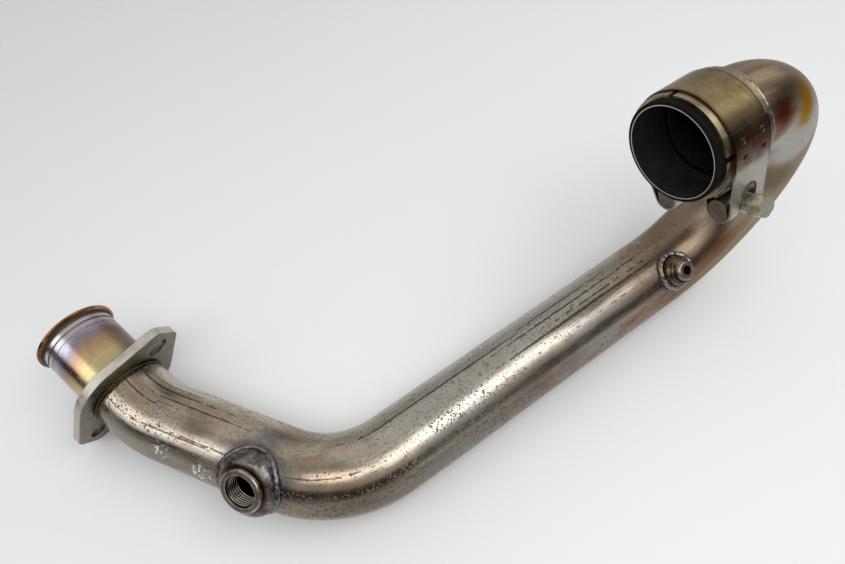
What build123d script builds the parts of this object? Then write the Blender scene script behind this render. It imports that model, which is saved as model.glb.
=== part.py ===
from build123d import *
import os
from math import acos, asin, atan2, cos, degrees, hypot, radians, sin, sqrt

os.makedirs("parts", exist_ok=True)

# Exhaust header pipe of a single-cylinder engine, in millimetres, lying as it comes to rest.
# The origin is the centre of the port mouth, +X runs along the long leg and +Z is up.

# Header tube
tube_od = 45.0
tube_wall = 1.5
tube_end_round = 1.2
bend_radius = 62.0

# Route of the centreline, from the port mouth to the outlet mouth.
# Headings are given by their angle in plan from +X and their slope, in degrees.
port_azimuth = -75.6
port_slope = -16.5
runner_azimuth = -57.5
return_lean = 4.1
port_straight = 8.3
runner_leg = 76.4
long_leg = 197.3
return_turn = 180.0
outlet_leg = 32.2
sensor_stretch = 20.0
drilled_turn = 6.0
test_stretch = 14.0

# Port spigot, with its flared lip, and the weld that joins it to the tube
spigot_step = 0.5
spigot_wall = 1.5
spigot_length = 51.5
lip_height = 2.4
lip_thickness = 1.4
flare_length = 4.4
wide_groove_at = 6.6
wide_groove_width = 1.4
wide_groove_depth = 0.5
fine_groove_at = 10.9
fine_groove_width = 0.5
fine_groove_depth = 0.25
spigot_bead_width = 2.2
spigot_bead_height = 0.95
spigot_bead_gap = 0.1

# Loose flange, which slides and turns on the spigot between the lip and the weld
flange_thickness = 6.0
flange_bore_clearance = 0.45
flange_rest_gap = 0.3
flange_core_width = 8.2
ear_margin = 11.3
ear_taper = 33.0
ear_corner_radius = 6.0
stud_land = 5.65
stud_slot_width = 8.5
stud_slot_length = 13.0
flange_edge_break = 0.4

# Sensor boss, M18 x 1.5, on the runner leg
sensor_from_main_bend = 8.2
sensor_roll = -51.8
sensor_bore = 16.4
sensor_bore_mouth = 18.0
sensor_rise = 6.7
sensor_ring_od = 25.0
sensor_ring_width = 1.9
sensor_neck_od = 22.6
sensor_neck_width = 1.0
sensor_shoulder_od = 26.8
sensor_base_inset = 4.5
sensor_base_rise = 0.8
sensor_tube_hole = 17.4

# Test boss at the end of the long leg, closed by a plug on a crush washer
test_from_return_bend = 1.0
test_roll = -42.2
test_boss_od = 18.0
test_boss_rise = 5.0
test_bore = 9.0
test_tube_hole = 7.0
washer_od = 15.2
washer_thickness = 1.5
plug_head_od = 12.4
plug_head_height = 3.7
plug_head_round = 2.0
plug_socket = 5.0
plug_socket_depth = 2.8
plug_shank_gap = 0.8

# Weld beads round the bosses
boss_bead_width = 1.9
boss_bead_height = 1.9
test_bead_width = 3.6
test_bead_height = 2.4

# Outlet: slotted sleeve, graphite gasket and its steel lining, for a link pipe of the tube's size.
# Depths are measured from the outlet mouth back into the pipe.
lining_clearance = 0.25
lining_wall = 0.4
lining_proud = 0.3
gasket_wall = 1.6
sleeve_wall = 1.5
sleeve_mouth_depth = 3.7
gasket_seat_depth = 22.5
tube_end_depth = 24.0
sleeve_rear_depth = 33.0
sleeve_slots = 4
sleeve_slot_width = 2.6
sleeve_slot_reach = 20.0
sleeve_slot_roll = -3.6
outlet_bead_reach = 3.7
outlet_bead_drop = 0.35

# Band clamp, with a strap folded back over a barrel at each side of its gap
clamp_depth = 18.3
clamp_roll = 26.4
strap_width = 22.0
strap_thickness = 0.9
strap_fold_radius = 1.6
strap_lap_end = 107.0
barrel_od = 11.0
barrel_offset = 15.2
barrel_rise = 3.45
barrel_length = 21.6
barrel_flat_depth = 1.1
barrel_play = 0.05
bolt_slot_width = 10.6
outer_slot_drop = 11.1
inner_slot_drop = 3.6
bridge_thickness = 0.8
bridge_end_gap = 0.3
bridge_width = 20.0
dimple_angles = (83.0, 97.0)
dimple_offset = 6.0
dimple_diameter = 3.4
dimple_depth = 0.45
bolt_diameter = 6.0
bolt_clearance = 0.3
bolt_thread_play = 0.1
bolt_head_across = 10.0
bolt_head_height = 6.0
bolt_head_break = 0.6
bolt_tail = 6.0
bolt_tail_break = 0.7
spacer_od = 9.4
spacer_length = 5.8

tube_radius = tube_od / 2
tube_bore_radius = tube_radius - tube_wall
spigot_radius = tube_radius - spigot_step
spigot_bore_radius = spigot_radius - spigot_wall
lip_radius = spigot_radius + lip_height
port_leg = spigot_length + port_straight
sensor_face_height = tube_radius + sensor_rise
sensor_base_radius = tube_radius - sensor_base_inset
test_boss_height = tube_radius + test_boss_rise
up = Vector(0, 0, 1)
quarter_turn = 90.0
section_roll = quarter_turn
mouth = Vector(0, 0, 0)


def heading(azimuth, slope):
    """Unit vector at an angle in plan and a slope, both in degrees."""
    level = cos(radians(slope))
    return Vector(level * cos(radians(azimuth)), level * sin(radians(azimuth)), sin(radians(slope)))


def around(axis, roll):
    """Unit vector square to an axis, rolled in degrees from its most upright direction."""
    side = up.cross(axis).normalized()
    rise = axis.cross(side)
    return rise * cos(radians(roll)) + side * sin(radians(roll))


def section_plane(origin, axis):
    """Plane for a turned section: its X is the axis and its Y is the radius."""
    return Plane(origin=origin, x_dir=axis, z_dir=axis.cross(around(axis, section_roll)))


class Bend:
    """One bend of the route: where it starts, the axis it turns about and where it ends."""

    def __init__(self, start, before, towards, turn):
        self.start = start
        self.before = before
        self.turn = turn
        self.axis_direction = before.cross(towards).normalized()
        inward = self.axis_direction.cross(before)
        self.centre = start + inward * bend_radius
        self.axis = Axis(self.centre, self.axis_direction)
        swung = (start - self.centre).rotate(Axis((0, 0, 0), self.axis_direction), turn)
        self.end = self.centre + swung


port_heading = heading(port_azimuth, port_slope)
runner_heading = heading(runner_azimuth, 0)
long_heading = Vector(1, 0, 0)
return_rise = Vector(0, -sin(radians(return_lean)), cos(radians(return_lean)))
outlet_heading = long_heading * -1

port_bend = Bend(
    mouth + port_heading * port_leg,
    port_heading,
    runner_heading,
    port_heading.get_angle(runner_heading),
)
main_bend = Bend(
    port_bend.end + runner_heading * runner_leg,
    runner_heading,
    long_heading,
    runner_heading.get_angle(long_heading),
)
return_bend = Bend(
    main_bend.end + long_heading * long_leg,
    long_heading,
    return_rise,
    return_turn,
)
drilled_heading = runner_heading.rotate(Axis((0, 0, 0), main_bend.axis_direction), drilled_turn)
near_main_bend = Bend(main_bend.start, runner_heading, long_heading, drilled_turn)
far_main_bend = Bend(
    near_main_bend.end,
    drilled_heading,
    long_heading,
    main_bend.turn - drilled_turn,
)
return_crest = long_heading.rotate(Axis((0, 0, 0), return_bend.axis_direction), return_turn / 2)
lower_return = Bend(return_bend.start, long_heading, return_rise, return_turn / 2)
upper_return = Bend(lower_return.end, return_crest, outlet_heading, return_turn / 2)
outlet_mouth = return_bend.end + outlet_heading * outlet_leg
tube_start = mouth + port_heading * spigot_length


def ring_profile(origin, axis, outer, inner):
    """Ring, or disc where the inner radius is zero, square to an axis."""
    with BuildSketch(Plane(origin=origin, z_dir=axis)) as ring:
        Circle(outer)
        if inner > 0:
            Circle(inner, mode=Mode.SUBTRACT)
    return ring.sketch


def lay_leg(start, axis, length, outer, inner):
    """Add a straight leg of tube to the part being built."""
    extrude(ring_profile(start, axis, outer, inner), amount=length, dir=axis)


def lay_bend(bend, outer, inner, share=1.0):
    """Add a bend of tube, or the first share of it, to the part being built."""
    profile = ring_profile(bend.start, bend.before, outer, inner)
    revolve(profile, axis=bend.axis, revolution_arc=bend.turn * share)


# Solid envelopes of the tube, used to shape what sits on it
with BuildPart() as outlet_envelope:
    lay_bend(upper_return, tube_radius, 0)
    lay_leg(upper_return.end, outlet_heading, outlet_leg - tube_end_depth, tube_radius, 0)


def near_sensor(rise):
    """Solid round the short leg and the start of its bend, this far proud of the tube."""
    with BuildPart() as envelope:
        lay_leg(port_bend.end, runner_heading, runner_leg, tube_radius + rise, 0)
        lay_bend(main_bend, tube_radius + rise, 0, share=0.5)
    return envelope.part


def near_test(rise):
    """Solid round the long leg and the start of its bend, this far proud of the tube."""
    with BuildPart() as envelope:
        lay_leg(main_bend.end, long_heading, long_leg, tube_radius + rise, 0)
        lay_bend(lower_return, tube_radius + rise, 0, share=0.6)
    return envelope.part


sensor_axis = around(runner_heading, sensor_roll)
sensor_foot = main_bend.start - runner_heading * sensor_from_main_bend
test_axis = around(long_heading, test_roll)
test_foot = return_bend.start - long_heading * test_from_return_bend

# Header tube: one bent tube, kept as stretches that meet face to face
with BuildPart() as header_tube_port_bend:
    lay_leg(tube_start, port_heading, port_leg - spigot_length, tube_radius, tube_bore_radius)
    lay_bend(port_bend, tube_radius, tube_bore_radius)
    start_edge = (
        header_tube_port_bend.edges()
        .filter_by(GeomType.CIRCLE)
        .filter_by(lambda edge: abs(edge.radius - tube_radius) < 0.01)
        .sort_by_distance(tube_start)[0]
    )
    fillet(start_edge, radius=tube_end_round)

with BuildPart() as header_tube_short_leg:
    short_length = runner_leg - sensor_stretch
    lay_leg(port_bend.end, runner_heading, short_length, tube_radius, tube_bore_radius)

# The end of the short leg, with the start of the main bend, carries the sensor boss:
# its near half is drilled under the boss, and its far half is plain
sensor_plane = Plane(origin=sensor_foot, z_dir=sensor_axis)


def lay_sensor_stretch():
    """Add the stretch of tube that carries the sensor boss."""
    sensor_start = main_bend.start - runner_heading * sensor_stretch
    lay_leg(sensor_start, runner_heading, sensor_stretch, tube_radius, tube_bore_radius)
    lay_bend(near_main_bend, tube_radius, tube_bore_radius)


with BuildPart() as header_tube_drilled_half:
    lay_sensor_stretch()
    with BuildSketch(sensor_plane):
        Circle(sensor_tube_hole / 2)
    extrude(amount=tube_od, mode=Mode.SUBTRACT)
    split(bisect_by=sensor_plane, keep=Keep.TOP)

with BuildPart() as header_tube_plain_half:
    lay_sensor_stretch()
    split(bisect_by=sensor_plane, keep=Keep.BOTTOM)

with BuildPart() as header_tube_main_bend:
    lay_bend(far_main_bend, tube_radius, tube_bore_radius)

with BuildPart() as header_tube_long_leg:
    lay_leg(main_bend.end, long_heading, long_leg - test_stretch, tube_radius, tube_bore_radius)

# The return bend's lower half, with the end of the long leg, is drilled under the test boss
with BuildPart() as header_tube_lower_return:
    stretch_start = return_bend.start - long_heading * test_stretch
    lay_leg(stretch_start, long_heading, test_stretch, tube_radius, tube_bore_radius)
    lay_bend(lower_return, tube_radius, tube_bore_radius)
    with BuildSketch(Plane(origin=test_foot, z_dir=test_axis)):
        Circle(test_tube_hole / 2)
    extrude(amount=tube_od, mode=Mode.SUBTRACT)

with BuildPart() as header_tube_upper_return:
    lay_bend(upper_return, tube_radius, tube_bore_radius)
    tail_length = outlet_leg - tube_end_depth
    lay_leg(upper_return.end, outlet_heading, tail_length, tube_radius, tube_bore_radius)

# Port spigot: a short turned tube with a flared lip and two shallow grooves
with BuildPart() as port_spigot:
    with BuildSketch(section_plane(mouth, port_heading)):
        with BuildLine():
            Line((0, lip_radius - spigot_wall), (0, lip_radius))
            Line((0, lip_radius), (lip_thickness, lip_radius))
            TangentArc(
                (lip_thickness, lip_radius),
                (flare_length, spigot_radius),
                tangent=(-1, 0),
                tangent_from_first=False,
            )
            Line((flare_length, spigot_radius), (spigot_length, spigot_radius))
            Line((spigot_length, spigot_radius), (spigot_length, spigot_bore_radius))
            Line((spigot_length, spigot_bore_radius), (flare_length, spigot_bore_radius))
            TangentArc(
                (flare_length, spigot_bore_radius),
                (0, lip_radius - spigot_wall),
                tangent=(-1, 0),
            )
        make_face()
    revolve(axis=Axis(mouth, port_heading))
    groove_rows = (
        (wide_groove_at, wide_groove_width, wide_groove_depth),
        (fine_groove_at, fine_groove_width, fine_groove_depth),
    )
    for groove_at, groove_width, groove_depth in groove_rows:
        groove_start = mouth + port_heading * groove_at
        groove = ring_profile(groove_start, port_heading, spigot_radius + 1, spigot_radius - groove_depth)
        extrude(groove, amount=groove_width, dir=port_heading, mode=Mode.SUBTRACT)

# Bead of weld round the spigot, just ahead of the tube's rounded end
with BuildPart() as spigot_weld:
    with BuildSketch(section_plane(mouth, port_heading)):
        bead_back = spigot_length - spigot_bead_gap
        bead_front = bead_back - spigot_bead_width
        with BuildLine():
            ThreePointArc(
                (bead_front, spigot_radius),
                ((bead_front + bead_back) / 2, spigot_radius + spigot_bead_height),
                (bead_back, spigot_radius),
            )
            Line((bead_back, spigot_radius), (bead_front, spigot_radius))
        make_face()
    revolve(axis=Axis(mouth, port_heading))

# Port flange: two slotted ears on a round core, resting against the weld
flange_back_at = spigot_length - spigot_bead_gap - spigot_bead_width - flange_rest_gap
ear_direction = around(port_heading, quarter_turn - ear_taper)
flange_plane = Plane(
    origin=mouth + port_heading * (flange_back_at - flange_thickness),
    x_dir=ear_direction,
    z_dir=port_heading,
)
flange_bore_radius = spigot_radius + flange_bore_clearance
flange_core_radius = flange_bore_radius + flange_core_width
stud_spacing = 2 * (flange_bore_radius + stud_land + stud_slot_width / 2)
ear_reach = stud_spacing / 2 + ear_margin
with BuildPart() as port_flange:
    with BuildSketch(flange_plane):
        Circle(flange_core_radius)
        corner_x = ear_reach - ear_corner_radius
        side_reach = flange_core_radius - ear_corner_radius - corner_x * sin(radians(ear_taper))
        corner_y = side_reach / cos(radians(ear_taper))
        with GridLocations(2 * corner_x, 2 * corner_y, 2, 2):
            Circle(ear_corner_radius)
        make_hull()
    extrude(amount=flange_thickness)
    outer_edges = port_flange.faces().filter_by(Axis(mouth, port_heading)).edges()
    chamfer(outer_edges, length=flange_edge_break)
    with BuildSketch(flange_plane):
        Circle(flange_bore_radius)
        with GridLocations(stud_spacing, 1, 2, 1):
            SlotOverall(stud_slot_length, stud_slot_width)
    extrude(amount=flange_thickness, mode=Mode.SUBTRACT)

# Sensor boss: saddle base, turned neck and a chamfered face, bored for the thread
with BuildPart() as sensor_boss:
    with BuildSketch(section_plane(sensor_foot, sensor_axis)):
        ring_back = sensor_face_height - sensor_ring_width
        neck_back = ring_back - sensor_neck_width
        base_height = tube_radius + sensor_base_rise
        bore_radius = sensor_bore / 2
        bore_lead = (sensor_bore_mouth - sensor_bore) / 2
        with BuildLine():
            Polyline(
                (0, bore_radius),
                (sensor_face_height - bore_lead, bore_radius),
                (sensor_face_height, sensor_bore_mouth / 2),
                (sensor_face_height, sensor_ring_od / 2 - 0.4),
                (sensor_face_height - 0.4, sensor_ring_od / 2),
                (ring_back, sensor_ring_od / 2),
                (ring_back, sensor_neck_od / 2),
                (neck_back, sensor_neck_od / 2),
                (neck_back, sensor_shoulder_od / 2),
            )
            ThreePointArc(
                (neck_back, sensor_shoulder_od / 2),
                (
                    base_height + 0.62 * (neck_back - base_height),
                    sensor_shoulder_od / 2 + 0.66 * (sensor_base_radius - sensor_shoulder_od / 2),
                ),
                (base_height, sensor_base_radius),
            )
            Polyline(
                (base_height, sensor_base_radius),
                (0, sensor_base_radius),
                (0, bore_radius),
            )
        make_face()
    revolve(axis=Axis(sensor_foot, sensor_axis))
    add(near_sensor(0), mode=Mode.SUBTRACT)


def saddle_bead(outside, inside, foot, axis, inner, outer):
    """Weld bead that follows the saddle where a round boss meets the tube."""
    with BuildPart() as bead:
        with BuildSketch(section_plane(foot, axis)):
            with Locations((0, inner)):
                Rectangle(tube_od, outer - inner, align=Align.MIN)
        revolve(axis=Axis(foot, axis))
        add(outside, mode=Mode.INTERSECT)
        add(inside, mode=Mode.SUBTRACT)
    return bead


sensor_boss_weld = saddle_bead(
    near_sensor(boss_bead_height),
    near_sensor(0),
    sensor_foot,
    sensor_axis,
    sensor_base_radius,
    sensor_base_radius + boss_bead_width,
)

# Test boss: a plain turned boss, bored for its plug
with BuildPart() as test_boss:
    with BuildSketch(section_plane(test_foot, test_axis)):
        with BuildLine():
            Polyline(
                (0, test_bore / 2),
                (test_boss_height, test_bore / 2),
                (test_boss_height, test_boss_od / 2 - 1.2),
                (test_boss_height - 1.2, test_boss_od / 2),
                (0, test_boss_od / 2),
                close=True,
            )
        make_face()
    revolve(axis=Axis(test_foot, test_axis))
    add(near_test(0), mode=Mode.SUBTRACT)

test_boss_weld = saddle_bead(
    near_test(test_bead_height),
    near_test(0),
    test_foot,
    test_axis,
    test_boss_od / 2,
    test_boss_od / 2 + test_bead_width,
)

# Crush washer and socket plug of the test boss
with BuildPart() as test_washer:
    washer_seat = test_foot + test_axis * test_boss_height
    extrude(
        ring_profile(washer_seat, test_axis, washer_od / 2, test_bore / 2),
        amount=washer_thickness,
        dir=test_axis,
    )
    chamfer(test_washer.edges().group_by(Axis(test_foot, test_axis))[-1].sort_by(SortBy.RADIUS)[-1], 0.3)

plug_seat = test_foot + test_axis * (test_boss_height + washer_thickness)
with BuildPart() as test_plug:
    extrude(ring_profile(plug_seat, test_axis, plug_head_od / 2, 0), amount=plug_head_height, dir=test_axis)
    fillet(test_plug.edges().group_by(Axis(test_foot, test_axis))[-1], radius=plug_head_round)
    with BuildSketch(Plane(origin=plug_seat + test_axis * plug_head_height, z_dir=test_axis)):
        RegularPolygon(plug_socket / 2, side_count=6, major_radius=False)
    extrude(amount=-plug_socket_depth, mode=Mode.SUBTRACT)
    shank_length = test_boss_height + washer_thickness - tube_radius - plug_shank_gap
    extrude(ring_profile(plug_seat, test_axis, test_bore / 2, 0), amount=-shank_length, dir=test_axis)

# Outlet lining, gasket and sleeve, nested from the inside out
lining_bore_radius = tube_radius + lining_clearance
gasket_bore_radius = lining_bore_radius + lining_wall
gasket_radius = gasket_bore_radius + gasket_wall
sleeve_radius = gasket_radius + sleeve_wall
inward = long_heading


def outlet_at(depth):
    """Point on the outlet axis at a depth behind the mouth."""
    return outlet_mouth + inward * depth


with BuildPart() as gasket_lining:
    lining = ring_profile(outlet_at(0), inward, gasket_bore_radius, lining_bore_radius)
    extrude(lining, amount=gasket_seat_depth, dir=inward)

with BuildPart() as outlet_gasket:
    gasket_ring = ring_profile(outlet_at(lining_proud), inward, gasket_radius, gasket_bore_radius)
    extrude(gasket_ring, amount=gasket_seat_depth - lining_proud, dir=inward)

with BuildPart() as outlet_sleeve:
    with BuildSketch(section_plane(outlet_mouth, inward)):
        with BuildLine():
            Polyline(
                (sleeve_mouth_depth, gasket_radius),
                (sleeve_mouth_depth, sleeve_radius),
                (sleeve_rear_depth, sleeve_radius),
                (sleeve_rear_depth, tube_radius),
                (gasket_seat_depth, tube_radius),
                (gasket_seat_depth, gasket_radius),
                close=True,
            )
        make_face()
    revolve(axis=Axis(outlet_mouth, inward))

# Bead of weld that closes the step from the sleeve down to the tube
with BuildPart() as outlet_weld:
    with BuildSketch(section_plane(outlet_mouth, inward)):
        bead_top = sleeve_radius - outlet_bead_drop
        bead_end = sleeve_rear_depth + outlet_bead_reach
        bead_foot = tube_radius - tube_wall / 2
        with BuildLine():
            Line((sleeve_rear_depth, bead_top), (sleeve_rear_depth, bead_foot))
            Line((sleeve_rear_depth, bead_foot), (bead_end, bead_foot))
            ThreePointArc(
                (bead_end, bead_foot),
                (
                    sleeve_rear_depth + 0.68 * outlet_bead_reach,
                    bead_foot + 0.72 * (bead_top - bead_foot),
                ),
                (sleeve_rear_depth, bead_top),
            )
        make_face()
    revolve(axis=Axis(outlet_mouth, inward))
    add(outlet_envelope.part, mode=Mode.SUBTRACT)

# Band clamp. Its plane has X along the bolt, Y out through the gap and Z into the pipe.
gap_direction = Vector(0, -sin(radians(clamp_roll)), -cos(radians(clamp_roll)))
bolt_direction = gap_direction.cross(inward)
clamp_centre = outlet_at(clamp_depth)
clamp_plane = Plane(origin=clamp_centre, x_dir=bolt_direction, z_dir=inward)

# Slots that let the sleeve close on its gasket, spaced from the clamp's gap
with BuildPart(mode=Mode.PRIVATE) as slot_cutters:
    with BuildSketch(Plane(origin=outlet_mouth, x_dir=bolt_direction, z_dir=inward)):
        with PolarLocations(sleeve_radius, sleeve_slots, start_angle=90 - sleeve_slot_roll):
            Rectangle(4 * sleeve_wall, sleeve_slot_width)
    extrude(amount=sleeve_slot_reach)

with outlet_sleeve:
    add(slot_cutters.part, mode=Mode.SUBTRACT)


# The strap's outline is drawn from its middle line, half its thickness to each side.
# Angles are from the gap, towards the head of the bolt.
half_strap = strap_thickness / 2
strap_radius = sleeve_radius + half_strap
lap_radius = strap_radius + strap_thickness
loop_radius = barrel_od / 2 + barrel_play + half_strap
barrel_height = sleeve_radius + strap_thickness + barrel_rise
loop_centre = (barrel_offset, barrel_height)
loop_angle = degrees(atan2(barrel_offset, barrel_height))
loop_distance = hypot(barrel_offset, barrel_height)
leave_angle = loop_angle + degrees(acos((lap_radius - loop_radius) / loop_distance))
fold_line = barrel_offset - loop_radius
fold_x = fold_line + strap_fold_radius
fold_y = sqrt((strap_radius + strap_fold_radius) ** 2 - fold_x**2)
fold_angle = degrees(atan2(fold_x, fold_y))


def on_circle(radius, angle, centre=(0, 0)):
    """Point on a circle at an angle from the gap's direction."""
    return (centre[0] + radius * sin(radians(angle)), centre[1] + radius * cos(radians(angle)))


def arc_between(radius, first, last, centre=(0, 0)):
    """Arc of a circle between two angles from the gap's direction."""
    middle = (first + last) / 2
    ThreePointArc(
        on_circle(radius, first, centre),
        on_circle(radius, middle, centre),
        on_circle(radius, last, centre),
    )


def lay_loop(side):
    """One face of the strap, from its fold at the gap, over the barrel to the end of its lap."""
    arc_between(strap_fold_radius - side, fold_angle + 180, 270, (fold_x, fold_y))
    Line((fold_line + side, fold_y), (fold_line + side, barrel_height))
    arc_between(loop_radius - side, 270, 360 + leave_angle, loop_centre)
    Line(
        on_circle(loop_radius - side, leave_angle, loop_centre),
        on_circle(lap_radius - side, leave_angle),
    )
    arc_between(lap_radius - side, leave_angle, strap_lap_end)


with BuildPart() as clamp_band:
    with BuildSketch(clamp_plane):
        with BuildLine():
            lay_loop(half_strap)
            lay_loop(-half_strap)
            Line(
                on_circle(strap_radius + half_strap, fold_angle),
                on_circle(strap_radius - half_strap, fold_angle),
            )
            Line(
                on_circle(lap_radius - half_strap, strap_lap_end),
                on_circle(lap_radius + half_strap, strap_lap_end),
            )
        make_face()
        mirror(about=Plane.YZ)
    extrude(amount=strap_width / 2, both=True)
    slot_rows = ((outer_slot_drop, barrel_offset + barrel_od), (inner_slot_drop, barrel_offset))
    for slot_drop, slot_reach in slot_rows:
        with BuildSketch(Plane(origin=clamp_centre, x_dir=gap_direction, z_dir=bolt_direction)):
            slot_radius = bolt_slot_width / 2
            with Locations((barrel_height - slot_drop + slot_radius, 0)):
                Circle(slot_radius)
                Rectangle(2 * barrel_height, bolt_slot_width, align=(Align.MIN, Align.CENTER))
        extrude(amount=slot_reach, both=True, mode=Mode.SUBTRACT)
    with BuildSketch(clamp_plane):
        with BuildLine():
            arc_between(strap_radius + half_strap, fold_angle, 360 - fold_angle)
            arc_between(strap_radius - half_strap, fold_angle, 360 - fold_angle)
            for end_angle in (fold_angle, 360 - fold_angle):
                Line(
                    on_circle(strap_radius + half_strap, end_angle),
                    on_circle(strap_radius - half_strap, end_angle),
                )
        make_face()
    extrude(amount=strap_width / 2, both=True)
    dimple_radius = (dimple_diameter**2 / 4 + dimple_depth**2) / (2 * dimple_depth)
    for dimple_angle in dimple_angles:
        for side_angle in (dimple_angle, -dimple_angle):
            dimple_reach = lap_radius + half_strap + dimple_radius - dimple_depth
            dimple_x, dimple_y = on_circle(dimple_reach, side_angle)
            for dimple_z in (dimple_offset, -dimple_offset):
                with Locations(clamp_plane.from_local_coords((dimple_x, dimple_y, dimple_z))):
                    Sphere(dimple_radius, mode=Mode.SUBTRACT)

# Bridge plate on the sleeve, which closes the gap between the strap's folds
bridge_reach = fold_line - half_strap - bridge_end_gap
bridge_half_angle = degrees(asin(bridge_reach / (sleeve_radius + bridge_thickness)))
with BuildPart() as clamp_bridge:
    with BuildSketch(clamp_plane):
        with BuildLine():
            arc_between(sleeve_radius, -bridge_half_angle, bridge_half_angle)
            arc_between(sleeve_radius + bridge_thickness, -bridge_half_angle, bridge_half_angle)
            for end_angle in (-bridge_half_angle, bridge_half_angle):
                Line(
                    on_circle(sleeve_radius, end_angle),
                    on_circle(sleeve_radius + bridge_thickness, end_angle),
                )
        make_face()
    extrude(amount=bridge_width / 2, both=True)


def bolt_ring(at, outer, inner):
    """Ring about the clamp's bolt, at a distance from the gap's middle."""
    centre = clamp_plane.from_local_coords((at, barrel_height, 0))
    return ring_profile(centre, bolt_direction, outer, inner)


def clamp_barrel(offset, bore):
    """Round bar held in a loop of the strap, with a flat outside and a hole for the bolt."""
    outside = 1 if offset > 0 else -1
    with BuildPart() as barrel:
        with BuildSketch(clamp_plane):
            with Locations((offset, barrel_height)):
                Circle(barrel_od / 2)
            with Locations((offset + outside * (barrel_od - barrel_flat_depth), barrel_height)):
                Rectangle(barrel_od, barrel_od, mode=Mode.SUBTRACT)
        extrude(amount=barrel_length / 2, both=True)
        extrude(bolt_ring(offset, bore / 2, 0), amount=barrel_od, both=True, mode=Mode.SUBTRACT)
    return barrel


barrel_nut = clamp_barrel(-barrel_offset, bolt_diameter + bolt_thread_play)
barrel_seat = clamp_barrel(barrel_offset, bolt_diameter + bolt_clearance)

spacer_at = barrel_offset + barrel_od / 2 - barrel_flat_depth
with BuildPart() as bolt_spacer:
    spacer_ring = bolt_ring(spacer_at, spacer_od / 2, (bolt_diameter + bolt_clearance) / 2)
    extrude(spacer_ring, amount=spacer_length, dir=bolt_direction)
    spacer_ends = bolt_spacer.edges().filter_by(GeomType.CIRCLE)
    chamfer(spacer_ends.filter_by(lambda edge: abs(edge.radius - spacer_od / 2) < 0.01), 0.5)

bolt_head_at = spacer_at + spacer_length
bolt_tail_at = barrel_offset + barrel_od / 2 + bolt_tail
with BuildPart() as clamp_bolt:
    head_centre = clamp_plane.from_local_coords((bolt_head_at, barrel_height, 0))
    with BuildSketch(Plane(origin=head_centre, z_dir=bolt_direction)):
        RegularPolygon(bolt_head_across / 2, side_count=6, major_radius=False)
    extrude(amount=bolt_head_height)
    head_cone = bolt_ring(bolt_head_at, bolt_head_across * 0.62, 0)
    extrude(head_cone, amount=bolt_head_height, dir=bolt_direction, taper=9, mode=Mode.INTERSECT)
    shank = bolt_ring(bolt_head_at, bolt_diameter / 2, 0)
    extrude(shank, amount=-(bolt_head_at + bolt_tail_at), dir=bolt_direction)
    tail_edges = clamp_bolt.edges().filter_by(GeomType.CIRCLE)
    chamfer(tail_edges.sort_by(Axis(clamp_centre, bolt_direction))[0], length=bolt_tail_break)

pieces = {
    "header_tube_port_bend": header_tube_port_bend,
    "header_tube_short_leg": header_tube_short_leg,
    "header_tube_drilled_half": header_tube_drilled_half,
    "header_tube_plain_half": header_tube_plain_half,
    "header_tube_main_bend": header_tube_main_bend,
    "header_tube_long_leg": header_tube_long_leg,
    "header_tube_lower_return": header_tube_lower_return,
    "header_tube_upper_return": header_tube_upper_return,
    "port_spigot": port_spigot,
    "spigot_weld": spigot_weld,
    "port_flange": port_flange,
    "sensor_boss": sensor_boss,
    "sensor_boss_weld": sensor_boss_weld,
    "test_boss": test_boss,
    "test_boss_weld": test_boss_weld,
    "test_washer": test_washer,
    "test_plug": test_plug,
    "gasket_lining": gasket_lining,
    "outlet_gasket": outlet_gasket,
    "outlet_sleeve": outlet_sleeve,
    "outlet_weld": outlet_weld,
    "clamp_band": clamp_band,
    "clamp_bridge": clamp_bridge,
    "barrel_nut": barrel_nut,
    "barrel_seat": barrel_seat,
    "bolt_spacer": bolt_spacer,
    "clamp_bolt": clamp_bolt,
}
for piece_name, piece in pieces.items():
    piece.part.label = piece_name
    export_step(piece.part, f"parts/{piece_name}.step")
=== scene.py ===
"""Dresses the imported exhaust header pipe: heat-tinted steel, welds, threads and the studio."""

import math

import bpy
import bmesh
import numpy as np
from bpy.props import FloatProperty, FloatVectorProperty, IntProperty, PointerProperty
from mathutils import Matrix, Vector


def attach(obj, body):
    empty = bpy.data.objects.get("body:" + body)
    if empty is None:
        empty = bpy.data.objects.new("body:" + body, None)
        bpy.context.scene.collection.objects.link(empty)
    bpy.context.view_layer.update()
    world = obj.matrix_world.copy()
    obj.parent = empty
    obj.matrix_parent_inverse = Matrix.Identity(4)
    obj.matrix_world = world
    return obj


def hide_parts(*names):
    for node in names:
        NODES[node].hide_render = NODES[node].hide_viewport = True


bl_info = {
    "name": "Exhaust Header Pipe",
    "version": (1, 0, 0),
    "blender": (4, 5, 0),
    "location": "View3D > Sidebar > Header Pipe",
    "description": "Makes the finishes, welds, threads and studio of an exhaust header pipe",
    "category": "Object",
}

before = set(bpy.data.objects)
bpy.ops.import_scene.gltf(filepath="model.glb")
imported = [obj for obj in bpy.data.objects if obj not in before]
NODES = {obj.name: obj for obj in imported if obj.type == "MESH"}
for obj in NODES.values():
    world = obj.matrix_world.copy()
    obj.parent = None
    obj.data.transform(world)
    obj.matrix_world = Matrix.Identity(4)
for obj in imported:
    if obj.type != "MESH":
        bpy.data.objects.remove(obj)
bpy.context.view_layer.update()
MM = 0.001
UP = Vector((0, 0, 1))


# Route of the tube's centreline, in metres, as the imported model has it

TUBE_RADIUS = 22.5 * MM
TUBE_BORE = 21.0 * MM
BEND_RADIUS = 62.0 * MM
TUBE_START = 51.5 * MM
TUBE_STOP = 24.0 * MM
PORT_LEG, RUNNER_LEG = 59.8 * MM, 76.4 * MM
LONG_RUN, OUTLET_LEG = 197.3 * MM, 32.2 * MM


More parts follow.
